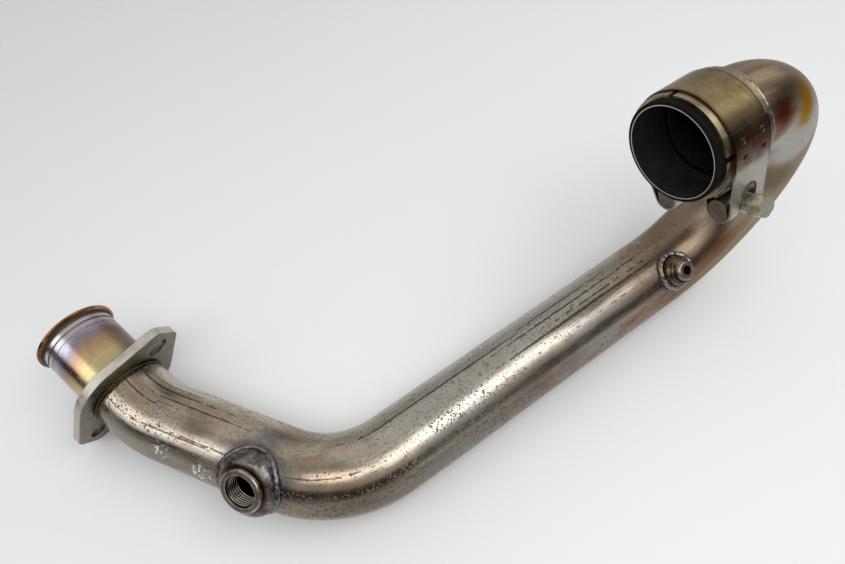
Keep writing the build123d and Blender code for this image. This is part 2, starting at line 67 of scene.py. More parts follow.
def heading(azimuth, slope):
    """Unit vector at an angle in plan and a slope, in degrees."""
    azimuth, slope = math.radians(azimuth), math.radians(slope)
    level = math.cos(slope)
    return Vector((level * math.cos(azimuth), level * math.sin(azimuth), math.sin(slope)))


PORT = heading(-75.6, -16.5)
RUNNER = heading(-57.5, 0)
LONG = Vector((1, 0, 0))
LEAN = math.radians(4.1)
RISE = Vector((0, -math.sin(LEAN), math.cos(LEAN)))


class Leg:
    """A straight stretch of the route."""

    def __init__(self, start, way, length):
        self.start, self.way, self.length = start, way, length
        self.end = start + way * length

    def at(self, along):
        return self.start + self.way * along, self.way

    def near(self, point):
        along = min(max((point - self.start).dot(self.way), 0), self.length)
        return (point - self.start - self.way * along).length


class Turn:
    """A bend of the route."""

    def __init__(self, start, before, towards, turn=None):
        self.start, self.before = start, before
        self.axis = before.cross(towards).normalized()
        self.inward = self.axis.cross(before)
        self.turn = before.angle(towards) if turn is None else turn
        self.length = self.turn * BEND_RADIUS
        self.centre = start + self.inward * BEND_RADIUS
        self.end, self.way = self.at(self.length)

    def at(self, along):
        angle = along / BEND_RADIUS
        out = -self.inward * math.cos(angle) + self.before * math.sin(angle)
        way = self.before * math.cos(angle) + self.inward * math.sin(angle)
        return self.centre + out * BEND_RADIUS, way

    def near(self, point):
        arm = point - self.centre
        angle = math.atan2(arm.dot(self.before), -arm.dot(self.inward))
        if angle < -1:
            angle += 2 * math.pi
        place, _ = self.at(min(max(angle, 0), self.turn) * BEND_RADIUS)
        return (point - place).length


def lay_route():
    """The route's legs and turns, from the port mouth to the outlet mouth."""
    port = Leg(Vector((0, 0, 0)), PORT, PORT_LEG)
    first = Turn(port.end, PORT, RUNNER)
    runner = Leg(first.end, RUNNER, RUNNER_LEG)
    main = Turn(runner.end, RUNNER, LONG)
    long_leg = Leg(main.end, LONG, LONG_RUN)
    back = Turn(long_leg.end, LONG, RISE, math.pi)
    outlet = Leg(back.end, -LONG, OUTLET_LEG)
    return [port, first, runner, main, long_leg, back, outlet]


ROUTE = lay_route()
ROUTE_LENGTH = sum(part.length for part in ROUTE)
MAIN_TURN, BACK_TURN = ROUTE[3], ROUTE[5]
OUTLET_MOUTH = ROUTE[-1].end


def on_route(along):
    """Point and heading at a length along the route."""
    for part in ROUTE:
        if along <= part.length or part is ROUTE[-1]:
            return part.at(along)
        along -= part.length


def from_route(point):
    """Distance of a point from the route's centreline."""
    return min(part.near(point) for part in ROUTE)


def rolled(axis, roll):
    """Unit vector square to an axis, rolled in degrees from its most upright direction."""
    side = UP.cross(axis).normalized()
    rise = axis.cross(side)
    return rise * math.cos(math.radians(roll)) + side * math.sin(math.radians(roll))


# Fittings: roll about the tube in degrees, and setback along it and slot sizes in millimetres

SENSOR_ROLL, SENSOR_SETBACK = -51.8, 8.2
TEST_ROLL, TEST_SETBACK = -42.2, 1.0
CLAMP_ROLL, CLAMP_SETBACK = 26.4, 18.3
EAR_ROLL, SLOT_END, SLOT_HALF_WIDTH = 57, 39.7, 4.5

SENSOR_AXIS = rolled(RUNNER, SENSOR_ROLL)
SENSOR_FOOT = MAIN_TURN.start - RUNNER * SENSOR_SETBACK * MM
TEST_AXIS = rolled(LONG, TEST_ROLL)
TEST_FOOT = BACK_TURN.start - LONG * TEST_SETBACK * MM
SENSOR, TEST = (SENSOR_FOOT, SENSOR_AXIS), (TEST_FOOT, TEST_AXIS)
CLAMP_CENTRE = OUTLET_MOUTH + LONG * CLAMP_SETBACK * MM
GAP = Vector((0, -math.sin(math.radians(CLAMP_ROLL)), -math.cos(math.radians(CLAMP_ROLL))))
BOLT = GAP.cross(LONG)

# Holes in the tube, seams of the round welds (place and radius) and the bolt's thread, in mm

SENSOR_HOLE, TEST_HOLE, DRILL_REACH = 8.7, 3.5, 40
SPIGOT_SEAM, OUTLET_SEAM = (50.3, 22.0), (34.3, 24.2)
SENSOR_SEAM, TEST_SEAM = 18.1, 10.3
THREAD = {"Radius": 2.75, "Pitch": 1.0, "Length": 5.2, "Ridge": 0.34}
THREAD_OUT, THREAD_BACK = 30.6, 26.2

# Round stage under the object; AWAY points from the camera into the room

STUDIO_CENTRE = Vector((0.2, -0.1, -43.35 * MM))
STUDIO_RADIUS = 1.5
AWAY = Vector((0.4628, 0.8865, 0))


# Node trees


class Nodes:
    """A node tree, with short calls for the nodes that it uses."""

    def join(self, value, socket):
        """Links an output to an input, or sets the input to a constant."""
        if isinstance(value, bpy.types.NodeSocket):
            self.tree.links.new(value, socket)
        elif socket.type == "RGBA":
            socket.default_value = (*(value if isinstance(value, tuple) else [value] * 3), 1)
        else:
            socket.default_value = value

    def node(self, kind, links=None, **settings):
        """New node, with its inputs joined by name or number."""
        made = self.tree.nodes.new(kind if kind.startswith("Shader") else self.family + kind)
        for name, value in settings.items():
            setattr(made, name, value)
        for name, value in (links or {}).items():
            self.join(value, made.inputs[name])
        return made

    def first(self, kind, links=None, **settings):
        """First output of a new node."""
        return self.node(kind, links, **settings).outputs[0]

    def maths(self, operation, first, second=0.0, third=0.0, clamp=False):
        links = {0: first, 1: second, 2: third}
        return self.first("ShaderNodeMath", links, operation=operation, use_clamp=clamp)

    def times(self, product, *others):
        for other in others:
            product = self.maths("MULTIPLY", product, other)
        return product


class Shader(Nodes):
    """A material, with short calls for patterns and colours."""

    family = "ShaderNode"

    def __init__(self, name, attribute=None):
        self.material = bpy.data.materials.new(name)
        self.material.use_nodes = True
        self.tree = self.material.node_tree
        self.bsdf = self.tree.nodes["Principled BSDF"]
        # here is the place in the object; the textures lie on an attribute where one is named
        self.here = self.place = self.node("TexCoord").outputs["Object"]
        if attribute:
            self.place = self.node("Attribute", attribute_name=attribute).outputs["Vector"]

    def vector(self, operation, first, second=(0, 0, 0), output="Vector"):
        links = {0: first, 1: second}
        return self.node("VectorMath", links, operation=operation).outputs[output]

    def dot(self, place, axis):
        return self.vector("DOT_PRODUCT", place, tuple(axis), "Value")

    def along(self, place, axis):
        """Length along an axis, in millimetres."""
        return self.times(self.dot(place, axis), 1000.0)

    def away(self, spot):
        """Distance from a spot, in millimetres."""
        return self.times(self.vector("DISTANCE", self.here, spot, "Value"), 1000.0)

    def blend(self, first, second, share):
        return self.added(first, share, self.times(second, 1 - share))

    def added(self, value, share, base, clamp=False):
        return self.maths("MULTIPLY_ADD", value, share, base, clamp)

    def below(self, value, limit):
        return self.maths("LESS_THAN", value, limit)

    def ranged(self, value, low, high, first=0.0, last=1.0):
        """Smooth step from one value to another."""
        links = dict(enumerate((value, low, high, first, last)))
        return self.first("MapRange", links, interpolation_type="SMOOTHSTEP")

    def fade(self, value, low, high):
        return self.ranged(value, low, high, 1.0, 0.0)

    def band(self, value, low, high, fall, end):
        """Rises from low to high and falls from fall to end."""
        return self.times(self.ranged(value, low, high), self.fade(value, fall, end))

    def noise(self, scale, detail=4.0, rough=0.55, warp=0.0, place=None):
        look = {"Scale": scale, "Detail": detail, "Roughness": rough, "Distortion": warp}
        return self.first("TexNoise", {"Vector": place or self.place, **look})

    def grain(self, stretch, *look, place=None):
        """Noise that is drawn out by a factor for each axis."""
        place = self.vector("MULTIPLY", place or self.place, stretch)
        return self.noise(1.0, *look, place=place)

    def cells(self, scale, place=None):
        """Distance to the nearest of a field of scattered points."""
        return self.first("TexVoronoi", {"Vector": place or self.place, "Scale": scale})

    def ramp(self, value, *stops):
        made = self.node("ValToRGB", {"Fac": value})
        elements = made.color_ramp.elements
        while len(elements) < len(stops):
            elements.new(0.5)
        for element, (at, colour) in zip(elements, stops):
            element.position, element.color = at, (*colour, 1)
        return made.outputs["Color"]

    def mix(self, factor, first, second):
        made = self.node("Mix", data_type="RGBA")
        for value, name in ((factor, "Factor_Float"), (first, "A_Color"), (second, "B_Color")):
            self.join(value, next(s for s in made.inputs if s.identifier == name))
        return next(s for s in made.outputs if s.identifier == "Result_Color")

    def tinted(self, colour, tint, *shares):
        """Lays a tint over a colour by the product of its shares."""
        return self.mix(self.times(*shares), colour, tint)

    def finish(self, colour, rough, metal, *bumps, specular=0.5):
        for value, name in (
            (colour, "Base Color"), (rough, "Roughness"), (metal, "Metallic"),
            (specular, "Specular IOR Level"),
        ):
            self.join(value, self.bsdf.inputs[name])
        socket = self.bsdf.inputs["Normal"]
        for height, strength, distance in reversed(bumps):
            bump = self.node("Bump", {"Height": height, "Strength": strength, "Distance": distance})
            self.join(bump.outputs["Normal"], socket)
            socket = bump.inputs["Normal"]
        return self.material


# Finishes


def from_axis(s, foot, axis):
    """Height along an axis and distance from it, in millimetres."""
    local = s.vector("SUBTRACT", s.here, tuple(foot))
    height = s.along(local, axis)
    radius = s.vector("LENGTH", s.vector("CROSS_PRODUCT", local, tuple(axis)), output="Value")
    return height, s.times(radius, 1000.0)


def tube_steel(name, settings):
    """The header tube: tan oxide, drawn lines, drifts of pits, a grey halo round each boss and a
    painted dark reflection low on the front.
    """
    s = Shader(name, "route")
    length = s.first("SeparateXYZ", {0: s.place})
    oxides = (settings.tube_tan, settings.tube_brown, settings.tube_dark)
    tan, brown, dark = (tuple(oxide) for oxide in oxides)
    normal = s.node("NewGeometry").outputs["Normal"]
    fine = s.grain((40, 1100, 1100), 3, 0.6)
    broad = s.grain((7, 70, 70), 5, 0.62, 0.5)
    cloud = s.grain((26, 48, 48), 5, 0.62, 0.8)
    colour = s.ramp(
        s.blend(broad, cloud, 0.5),
        (0.32, dark), (0.44, brown), (0.54, tan), (0.68, tuple(c * 1.18 for c in tan)),
    )
    # warm blooms, and grey-green where the tube faces away from the front
    bloom = s.ranged(s.grain((30, 70, 70), 4, 0.6, 0.6), 0.48, 0.66)
    colour = s.tinted(colour, (0.46, 0.3, 0.155), bloom, 0.4)
    crown = s.dot(normal, (-0.05, 0.3, 0.95))
    rear = s.dot(normal, (-0.05, 0.8, 0.6))
    colour = s.mix(s.ranged(rear, 0.7, 0.97, 0.0, 0.6), colour, (0.33, 0.315, 0.245))
    # greyer along the long leg, and a painted dark reflection low on the front that fades out along
    # the long leg
    pale = s.band(length, 0.19, 0.27, 0.34, 0.42)
    colour = s.tinted(colour, (0.4, 0.388, 0.345), pale, 0.72)
    # painted dark reflection: faces low on the front are darkened as if they mirrored a dark room
    low = s.ranged(s.dot(normal, (-0.526, -0.526, -0.668)), 0.03, 0.17)
    low = s.times(low, s.ranged(length, 0.3, 0.44, 0.55, 0.0))
    colour = s.mix(low, colour, (0.08, 0.072, 0.06))
    # purple-brown heat round the return bend, red stains below it and a straw patch at its back
    hot = s.ranged(s.added(cloud, 0.12, length), 0.42, 0.51)
    violet = s.ramp(
        broad,
        (0.3, (0.11, 0.072, 0.045)), (0.5, (0.225, 0.162, 0.105)), (0.7, (0.31, 0.245, 0.175)),
    )
    colour = s.tinted(colour, violet, hot, 0.85)
    red = s.ranged(s.grain((11, 42, 42), 5, 0.62, 0.5), 0.47, 0.64)
    reach = s.times(s.ranged(length, 0.26, 0.38), s.ranged(length, 0.46, 0.53, 0.9, 0.06))
    under = s.ranged(s.dot(normal, (0.1, -0.93, 0.36)), 0.45, 0.9, 0.05, 1.0)
    colour = s.tinted(colour, (0.18, 0.062, 0.03), red, reach, under)
    edge = s.mix(hot, (1.0, 1.0, 1.0), (0.76, 0.7, 0.62))
    wander = s.maths("SUBTRACT", cloud, 0.5)
    # four patches round the return bend, pale silver-grey, dark brown, straw and dark red, each
    # with its own specular tint
    for spot, near, far, tint, rim in (
        ((0.35, -0.203, 0.085), 17.0, 31.0, (0.37, 0.367, 0.355), (0.86, 0.84, 0.8)),
        ((0.366, -0.197, 0.045), 4.0, 17.0, (0.135, 0.115, 0.08), (0.76, 0.7, 0.62)),
        ((0.352, -0.199, 0.105), 3.0, 15.0, (0.34, 0.185, 0.025), (0.62, 0.46, 0.24)),
        ((0.331, -0.202, 0.112), 3.0, 14.0, (0.105, 0.028, 0.02), (0.6, 0.4, 0.34)),
    ):
        away = s.added(wander, 22.0, s.away(spot))
        share = s.times(s.fade(away, near, far), 0.9)
        colour = s.mix(share, colour, tint)
        edge = s.mix(share, edge, rim)
    # thin dark drawn lines, broken along their length, mostly where the tube faces up
    cool = s.ranged(length, 0.4, 0.5, 1.0, 0.15)
    high = s.ranged(crown, 0.35, 0.85, 0.15, 1.0)
    beaded = s.grain((220, 500, 500), 2, 0.6)
    lines = 0.0
    for run, pitch, share in ((3.5, 290, 0.4), (6.0, 400, 0.42)):
        streak = s.cells(1.0, s.vector("MULTIPLY", s.place, (run, pitch, pitch)))
        lines = s.maths("MAXIMUM", lines, s.below(streak, s.times(beaded, share, high)))
    lines = s.times(lines, cool)
    colour = s.tinted(colour, (0.045, 0.032, 0.024), lines, 0.82)
    # pits, in drifts
    drift = s.ranged(s.grain((12, 36, 36), 4, 0.7, 0.3), 0.4, 0.56)
    drift = s.maths("MAXIMUM", drift, s.times(high, 0.7))
    drift = s.times(drift, s.ranged(length, 0.42, 0.52, 1.0, 0.12))
    spots = 0.0
    for scale, share in ((300, 0.42), (480, 0.5), (850, 0.6)):
        size = s.times(s.noise(scale * 0.4, 2), share, drift)
        spots = s.maths("MAXIMUM", spots, s.below(s.cells(scale), size))
    colour = s.tinted(colour, (0.085, 0.05, 0.03), spots, 0.75)
    # near-white marks in two small patches low on the short leg
    white_marks = s.ranged(s.grain((260, 420, 420), 2, 0.5, place=s.here), 0.55, 0.6)
    for spot in ((0.0154, -0.0986, -0.0075), (0.0279, -0.1226, -0.0115)):
        colour = s.tinted(colour, (0.86, 0.88, 0.88), white_marks, s.fade(s.away(spot), 3.5, 7.5))
    # blue-grey heat round the bosses
    for boss, near, far in ((SENSOR, 19.5, 25.0), (TEST, 11.5, 16.0)):
        height, radius = from_axis(s, *boss)
        ring = s.added(wander, 16.0, radius)
        halo = s.times(s.fade(ring, near, far), s.ranged(height, 0.0, 3.0))
        colour = s.tinted(colour, (0.135, 0.125, 0.125), halo, 0.85)
    rough = s.ranged(s.blend(fine, cloud, 0.5), 0.32, 0.68, 0.17, 0.32)
    rough = s.added(hot, 0.1, s.added(pale, 0.04, rough))
    s.join(edge, s.bsdf.inputs["Specular Tint"])
    rough = s.added(spots, 0.3, rough, clamp=True)
    metal = s.maths("SUBTRACT", 1.0, s.times(spots, 0.6), clamp=True)
    return s.finish(
        colour, rough, metal,
        (fine, 0.1, 0.0002), (s.maths("SUBTRACT", 1.0, spots), 0.4, 0.0002),
    )


def spigot_steel(name):
    """The spigot: a bronze lip, a bright neck, bands of blue, purple, orange and straw, and painted
    shade on one flank.
    """
    s = Shader(name)
    depth, radius = from_axis(s, (0, 0, 0), PORT)
    cloud = s.noise(60, 4, 0.55, 0.8)
    side = s.times(s.dot(s.here, rolled(PORT, 90)), 90.0)
    shifted = s.added(s.maths("SUBTRACT", cloud, 0.5), 16.0, depth)
    shifted = s.maths("ADD", shifted, side)
    bands = s.ramp(
        s.maths("DIVIDE", shifted, 50.0),
        (0.12, (0.5, 0.49, 0.5)), (0.24, (0.4, 0.39, 0.43)), (0.33, (0.28, 0.225, 0.25)),
        (0.42, (0.37, 0.235, 0.17)), (0.52, (0.49, 0.33, 0.17)), (0.66, (0.58, 0.45, 0.23)),
        (0.8, (0.5, 0.42, 0.2)), (1.0, (0.3, 0.27, 0.13)),
    )
    # painted shade: one flank of the spigot is darkened, away from the lip
    flank = s.along(s.here, rolled(PORT, 90))
    shade = s.times(s.ranged(flank, 8.0, 20.0), s.ranged(depth, 12.0, 18.0))
    bands = s.tinted(bands, (0.1, 0.065, 0.06), shade, 0.85)
    lip = s.ramp(
        cloud, (0.35, (0.11, 0.05, 0.02)), (0.5, (0.3, 0.155, 0.065)), (0.65, (0.46, 0.27, 0.12)),
    )
    colour = s.mix(s.fade(depth, 2.6, 4.2), bands, lip)
    crease = s.band(depth, 2.4, 3.4, 4.2, 5.2)
    colour = s.tinted(colour, (0.035, 0.022, 0.015), crease, 0.4)
    groove = s.below(radius, 21.9)
    colour = s.tinted(colour, (0.3, 0.14, 0.06), groove, 0.75)
    fine = s.noise(900, 3, 0.6)
    inside = s.below(radius, 21.0)
    inside = s.maths("MAXIMUM", inside, s.times(s.below(depth, 4.0), s.below(radius, 23.2)))
    colour = s.tinted(colour, (0.07, 0.05, 0.035), inside, 0.9)
    rough = s.ranged(s.maths("ADD", fine, cloud), 0.7, 1.3, 0.17, 0.32)
    rough = s.added(inside, 0.4, rough)
    return s.finish(colour, rough, 1.0, (fine, 0.06, 0.0001))


def worn_steel(name, light, dark, stain, amount, rough=(0.25, 0.5), hollow=None):
    """Plain steel with cloudy wear, a fine grain, a stain and, where given, a dark hollow."""
    s = Shader(name)
    cloud = s.noise(60, 5, 0.6, 0.5)
    fine = s.noise(700, 3, 0.65)
    colour = s.ramp(s.blend(fine, cloud, 0.3), (0.32, dark), (0.62, light))
    patch = s.ranged(s.noise(130, 5, 0.7, 0.6), 1 - amount, 1.12 - amount)
    colour = s.tinted(colour, stain, patch, 0.8)
    if hollow:
        foot, axis, reach = hollow
        _, radius = from_axis(s, foot, axis)
        hole = s.ranged(radius, reach - 0.3, reach, 0.95, 0.0)
        colour = s.mix(hole, colour, (0.008, 0.006, 0.005))
    return s.finish(colour, s.ranged(cloud, 0.35, 0.65, *rough), 1.0, (fine, 0.2, 0.0002))


def flange_steel(name):
    """The flange: satin faces with grinding marks, paler edges, brown corners and painted shade in
    its slot.
    """
    s = Shader(name)
    normal = s.node("NewGeometry").outputs["Normal"]
    facing = s.maths("ABSOLUTE", s.dot(normal, PORT))
    edge = s.fade(facing, 0.2, 0.8)
    ear = rolled(PORT, EAR_ROLL)
    along = s.maths("ABSOLUTE", s.along(s.here, ear))
    across = s.maths("ABSOLUTE", s.along(s.here, PORT.cross(ear)))
    slot = s.times(s.below(along, SLOT_END), s.below(across, SLOT_HALF_WIDTH))
    cloud = s.noise(75, 5, 0.6, 0.5)
    scratches = s.grain((90, 900, 300), 3, 0.6)
    face = s.blend(scratches, cloud, 0.4)
    face = s.ramp(face, (0.3, (0.13, 0.11, 0.085)), (0.65, (0.34, 0.31, 0.26)))
    colour = s.mix(edge, face, s.ramp(cloud, (0.3, (0.42, 0.38, 0.32)), (0.65, (0.62, 0.58, 0.51))))
    # painted shade on the walls of the slot
    colour = s.tinted(colour, (0.085, 0.065, 0.048), slot, edge, 0.85)
    rust = s.ranged(s.noise(160, 5, 0.7, 0.5), 0.6, 0.7)
    colour = s.tinted(colour, (0.17, 0.085, 0.04), rust, 0.6)
    return s.finish(colour, s.ranged(cloud, 0.3, 0.7, 0.32, 0.52), 0.95, (scratches, 0.15, 0.0002))


def boss_steel(name):
    """The sensor boss: a brown turned face, a rusty neck and a blue-grey shoulder of weld heat."""
    s = Shader(name)
    height, radius = from_axis(s, *SENSOR)
    cloud = s.noise(170, 5, 0.6, 0.6)
    fine = s.noise(1300, 2)
    base = s.ramp(
        cloud,
        (0.34, (0.05, 0.042, 0.04)), (0.52, (0.135, 0.118, 0.108)), (0.68, (0.36, 0.35, 0.345)),
    )
    ring = s.ramp(
        cloud, (0.34, (0.14, 0.1, 0.075)), (0.5, (0.34, 0.3, 0.25)), (0.66, (0.54, 0.5, 0.45)),
    )
    dull = s.band(radius, 9.5, 9.9, 11.2, 11.7)
    ring = s.tinted(ring, (0.1, 0.085, 0.07), dull, 0.75)
    colour = s.mix(s.ranged(height, 26.2, 26.6), base, ring)
    neck = s.band(height, 25.9, 26.2, 27.2, 27.4)
    colour = s.tinted(colour, (0.085, 0.038, 0.018), neck, 0.9)
    bore = s.fade(radius, 9.0, 9.3)
    crest = s.fade(radius, 8.35, 8.8)
    thread = s.mix(crest, (0.03, 0.02, 0.013), (0.26, 0.23, 0.18))
    colour = s.mix(bore, colour, thread)
    rough = s.ranged(cloud, 0.3, 0.7, 0.22, 0.42)
    return s.finish(colour, rough, 1.0, (cloud, 0.3, 0.001), (fine, 0.15, 0.0002))


def weld_steel(name, bright, dull, tint):
    """Weld metal: bright ripples, dull hollows and a heat tint in patches."""
    s = Shader(name)
    cloud = s.noise(190, 4, 0.6, 0.6)
    fine = s.noise(1100, 3, 0.6)
    colour = s.ramp(s.blend(fine, cloud, 0.35), (0.3, dull), (0.65, bright))
    patch = s.ranged(s.noise(75, 4, 0.6, 0.5), 0.48, 0.62)
    colour = s.tinted(colour, tint, patch, 0.7)
    return s.finish(colour, s.ranged(cloud, 0.3, 0.7, 0.22, 0.45), 1.0, (fine, 0.2, 0.0002))


def band_steel(name):
    """The clamp's strap: olive and gold heat tint, brushed lines, red stains, a paler loop, painted
    shade on its front and a painted shadow along its edges.
    """
    s = Shader(name)
    local = s.vector("SUBTRACT", s.here, tuple(CLAMP_CENTRE))
    out = s.along(local, GAP)
    across = s.along(local, BOLT)
    width = s.maths("ABSOLUTE", s.along(local, LONG))
    cloud = s.noise(42, 4, 0.6, 0.6)
    brushed = s.grain((1500, 60, 60), 3, 0.6)
    blotch = s.noise(120, 5, 0.7, 0.6)
    tone = s.blend(brushed, cloud, 0.2)
    gold = s.ramp(
        tone, (0.34, (0.085, 0.058, 0.029)), (0.46, (0.15, 0.106, 0.049)),
        (0.58, (0.235, 0.17, 0.079)), (0.7, (0.33, 0.26, 0.155)),
    )
    grey = s.ramp(cloud, (0.3, (0.27, 0.25, 0.2)), (0.7, (0.44, 0.42, 0.37)))
    colour = s.mix(s.ranged(s.added(cloud, 8.0, out), 8.0, 15.0), gold, grey)
    # painted shade: the middle of the strap's front side is darkened, in blotches
    painted_front_shade = s.times(s.band(out, -22.0, -6.0, 6.0, 12.0), s.ranged(across, 2.0, 16.0))
    colour = s.tinted(colour, (0.075, 0.055, 0.036), painted_front_shade, s.ranged(blotch, 0.3, 0.6, 0.55, 0.9))
    near = s.band(out, -10.0, -2.0, 5.0, 11.0)
    stain = s.times(near, s.ranged(across, 12.0, 20.0), s.ranged(blotch, 0.42, 0.54))
    colour = s.tinted(colour, (0.115, 0.026, 0.018), stain, 0.9)
    # painted shadow: a dark line along both edges of the strap, fainter towards the loop
    rim = s.times(s.ranged(width, 9.6, 10.9), s.ranged(out, 8.0, 14.0, 1.0, 0.2))
    colour = s.tinted(colour, (0.06, 0.035, 0.022), rim, 0.85)
    rough = s.ranged(s.maths("ADD", cloud, brushed), 0.7, 1.3, 0.24, 0.42)
    return s.finish(colour, rough, 1.0, (brushed, 0.08, 0.0001))


def sleeve_steel(name):
    """The outlet sleeve: khaki heat tint in blotches, with soot inside."""
    s = Shader(name)
    _, radius = from_axis(s, OUTLET_MOUTH, LONG)
    cloud = s.noise(75, 5, 0.65, 0.5)
    brushed = s.grain((1500, 80, 80), 3, 0.6)
    colour = s.ramp(
        s.blend(brushed, cloud, 0.25),
        (0.34, (0.11, 0.085, 0.05)), (0.48, (0.3, 0.245, 0.145)), (0.66, (0.46, 0.4, 0.27)),
    )
    inside = s.fade(radius, 24.0, 24.6)
    colour = s.mix(inside, colour, (0.012, 0.011, 0.01))
    rough = s.mix(inside, s.ranged(cloud, 0.3, 0.7, 0.26, 0.42), 0.8)
    return s.finish(colour, rough, 1.0, (brushed, 0.08, 0.0001))


def lining_steel(name):
    """The gasket's lining: a bright rolled edge and a sooty bore."""
    s = Shader(name)
    depth, _ = from_axis(s, OUTLET_MOUTH, LONG)
    cloud = s.noise(90, 4, 0.6, 0.5)
    edge = s.fade(s.added(cloud, 0.5, depth), 0.35, 0.7)
    soot = s.ramp(cloud, (0.3, (0.006, 0.006, 0.006)), (0.7, (0.02, 0.019, 0.018)))
    colour, rough = s.mix(edge, soot, (0.46, 0.45, 0.42)), s.mix(edge, 0.85, 0.25)
    return s.finish(colour, rough, edge, (cloud, 0.1, 0.0002), specular=0.2)


def graphite(name):
    """The graphite ring: matt black with a pressed grain."""
    s = Shader(name)
    grain = s.noise(900, 4, 0.7)
    colour = s.ramp(grain, (0.3, (0.002, 0.002, 0.002)), (0.7, (0.01, 0.008, 0.006)))
    rough = s.ranged(grain, 0.3, 0.7, 0.6, 0.85)
    return s.finish(colour, rough, 0.0, (grain, 0.4, 0.0003), specular=0.08)


def soot_steel(name):
    """The tube's inside: dry black soot over brown steel."""
    s = Shader(name)
    cloud = s.noise(70, 5, 0.65, 0.5)
    fine = s.noise(800, 3, 0.6)
    colour = s.ramp(
        cloud,
        (0.3, (0.006, 0.006, 0.006)), (0.6, (0.014, 0.013, 0.012)), (0.8, (0.03, 0.026, 0.022)),
    )
    rough = s.ranged(fine, 0.3, 0.7, 0.65, 0.9)
    return s.finish(colour, rough, 0.0, (fine, 0.3, 0.0003), specular=0.15)


def floor_paint(name, colour):
    """Floor and backdrop: pale board behind the object, and a dark room on the other sides."""
    s = Shader(name)
    cloud = s.noise(3, 3, 0.5)
    tone = s.ramp(cloud, (0.3, tuple(c * 0.985 for c in colour)), (0.7, colour))
    behind = s.ranged(s.dot(s.vector("SUBTRACT", s.here, tuple(STUDIO_CENTRE)), AWAY), 0.3, 1.0)
    level = s.fade(s.dot(s.here, UP), -0.04, 0.06)
    tone = s.mix(s.maths("MAXIMUM", behind, level), (0.06, 0.056, 0.052), tone)
    return s.finish(tone, s.ranged(cloud, 0.3, 0.7, 0.5, 0.6), 0.0)


# Mesh helpers


def linked(name, data):
    """New object in the scene's own collection."""
    made = bpy.data.objects.new(name, data)
    bpy.context.scene.collection.objects.link(made)
    return made


def add_object(name, mesh, material, body="pipe", replaces=()):
    """Links a finished mesh, gives it its material and hands it to the frame."""
    made = linked(name, mesh)
    mesh.materials.clear()
    mesh.materials.append(material)
    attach(made, body)
    if replaces:
        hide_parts(*replaces)
    return made


def grid_faces(rows, columns, wrap_rows=False):
    """Quads of a grid that closes across its columns, and along its rows if asked."""
    quads = []
    for row in range(rows if wrap_rows else rows - 1):
        here, there = row * columns, ((row + 1) % rows) * columns
        for column in range(columns):
            beside = (column + 1) % columns
            quads.append((here + column, here + beside, there + beside, there + column))
    return quads


def mesh_from(name, points, faces, smooth=True, sharp=None):
    """Smooth or flat mesh with its faces pointing outwards."""
    mesh = bpy.data.meshes.new(name)
    mesh.from_pydata([tuple(p) for p in points], [], faces)
    shape = bmesh.new()
    shape.from_mesh(mesh)
    bmesh.ops.recalc_face_normals(shape, faces=shape.faces)
    shape.to_mesh(mesh)
    shape.free()
    mesh.shade_smooth() if smooth else mesh.shade_flat()
    if sharp:
        mesh.set_sharp_from_angle(angle=math.radians(sharp))
    return mesh


def bake_tree(name, tree, mesh, inputs):
    """Runs a geometry tree on a mesh and returns the result as a plain mesh."""
    source = linked(name + "_source", mesh or bpy.data.meshes.new(name + "_source"))
    modifier = source.modifiers.new("shape", "NODES")
    modifier.node_group = tree
    for item in tree.interface.items_tree:
        if item.item_type == "SOCKET" and item.in_out == "INPUT" and item.name in inputs:
            modifier[item.identifier] = inputs[item.name]
    source.update_tag()
    graph = bpy.context.evaluated_depsgraph_get()
    made = bpy.data.meshes.new_from_object(source.evaluated_get(graph))
    source.modifiers.remove(modifier)
    bpy.data.objects.remove(source)
    return made


class Tree(Nodes):
    """A geometry tree with named inputs."""

    family = "GeometryNode"

    def __init__(self, name, *inputs):
        self.tree = bpy.data.node_groups.new(name, "GeometryNodeTree")
        face = self.tree.interface
        face.new_socket("Geometry", in_out="INPUT", socket_type="NodeSocketGeometry")
        for label, kind, default in inputs:
            socket = face.new_socket(label, in_out="INPUT", socket_type="NodeSocket" + kind)
            if default is not None:
                socket.default_value = default
        face.new_socket("Geometry", in_out="OUTPUT", socket_type="NodeSocketGeometry")
        self.given = self.tree.nodes.new("NodeGroupInput").outputs

    def vector(self, operation, links):
        return self.first("ShaderNodeVectorMath", links, operation=operation)

    def ring(self, radius, sides):
        links = {"Resolution": sides, "Radius": radius}
        return self.first("CurvePrimitiveCircle", links, mode="RADIUS")

    def finish(self, geometry, material):
        smooth = self.first("SetShadeSmooth", {"Geometry": geometry})
        whole = self.first("RealizeInstances", {"Geometry": smooth})
        done = self.first("SetMaterial", {"Geometry": whole, "Material": material})
        end = self.tree.nodes.new("NodeGroupOutput")
        self.tree.links.new(done, end.inputs[0])
        return self.tree


